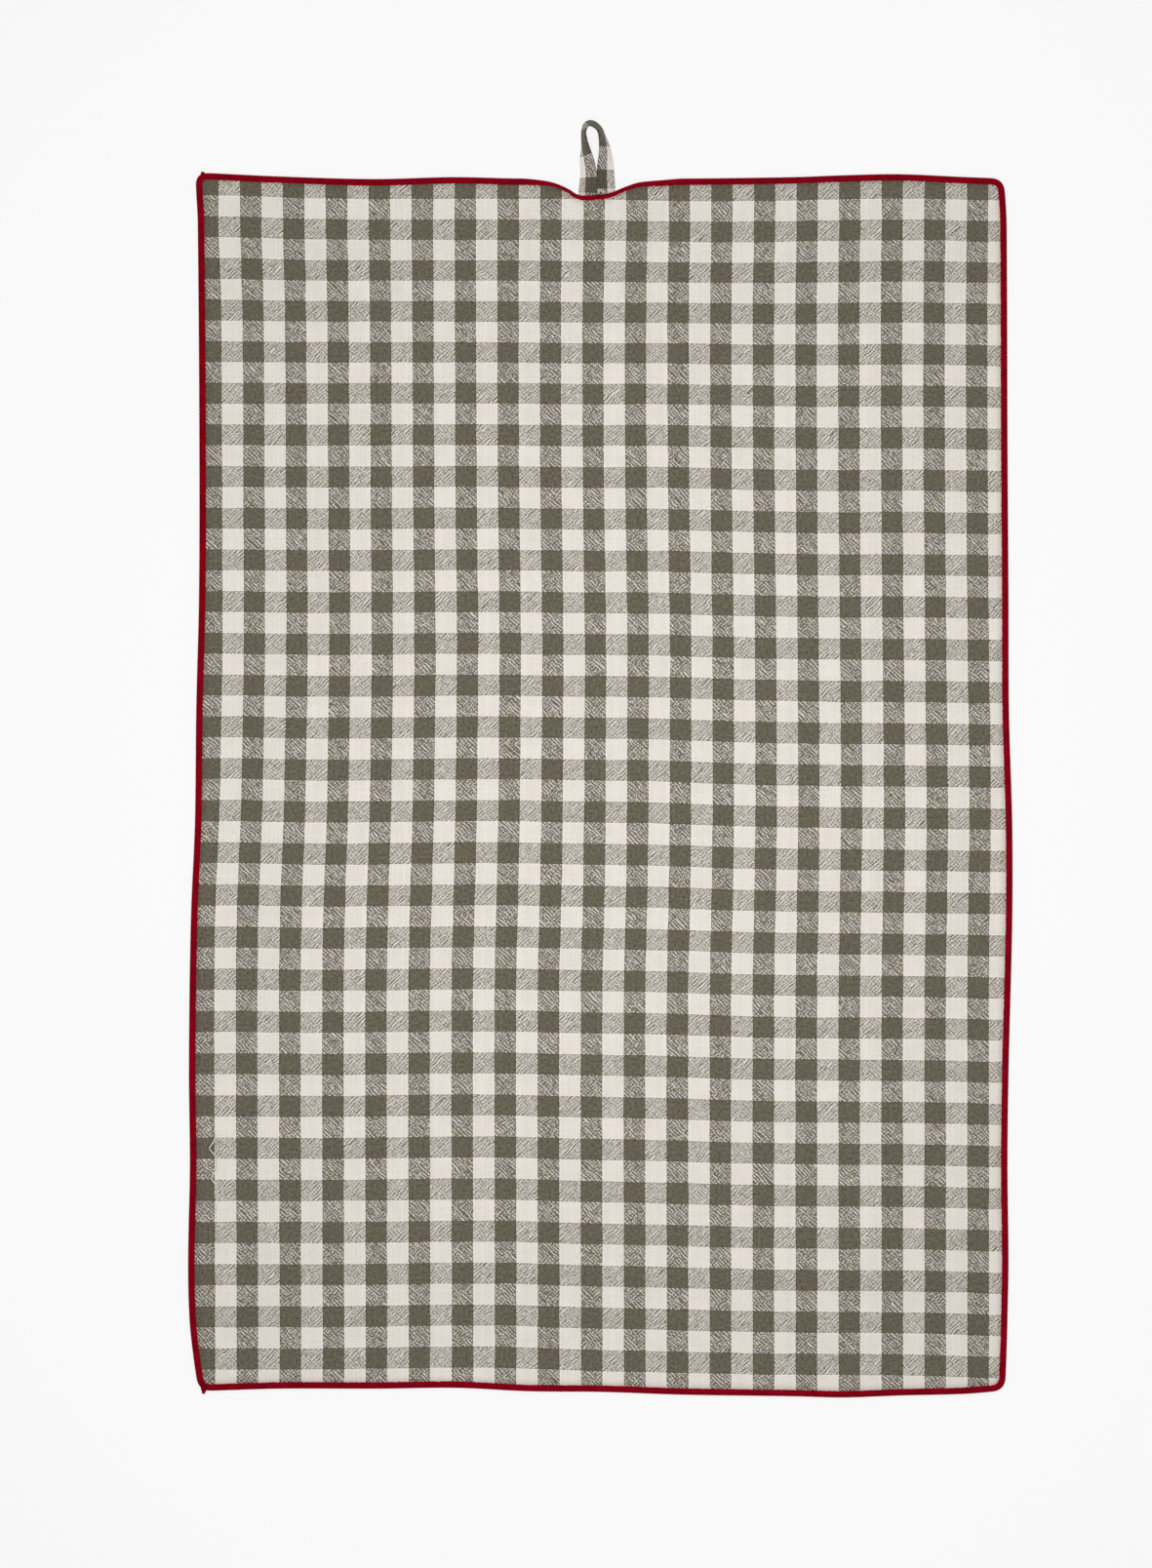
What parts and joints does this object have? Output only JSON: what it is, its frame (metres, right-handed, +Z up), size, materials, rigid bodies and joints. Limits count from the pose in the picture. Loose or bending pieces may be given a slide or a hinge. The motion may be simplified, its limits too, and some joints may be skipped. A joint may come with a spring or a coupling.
{
  "type": "tea towel",
  "caption": "Flat rectangular checked tea towel with a red overlocked edging all round and a cloth hanging loop at the middle of its top edge.",
  "frame": {"origin": "middle of the whole towel's box, loop included, on the surface that it lies on", "axes": "+X across the towel to its right side, +Y along it towards the edge with the loop, +Z up from the surface, the way its face looks"},
  "size_m": [0.5068, 0.7856, 0.0116],
  "materials": {
    "checked_cotton": "matt plain weave in an even check of cream and olive grey",
    "red_thread": "dense overlock stitches in dark red thread with a soft sheen",
    "checked_tape": "the same check folded to a narrow tape"
  },
  "bodies": {
    "root": {"cloth": "checked_cotton", "edging_top": "red_thread", "edging_right": "red_thread", "edging_bottom": "red_thread", "edging_left": "red_thread", "hanging_loop": "checked_tape"}
  },
  "joints": []
}
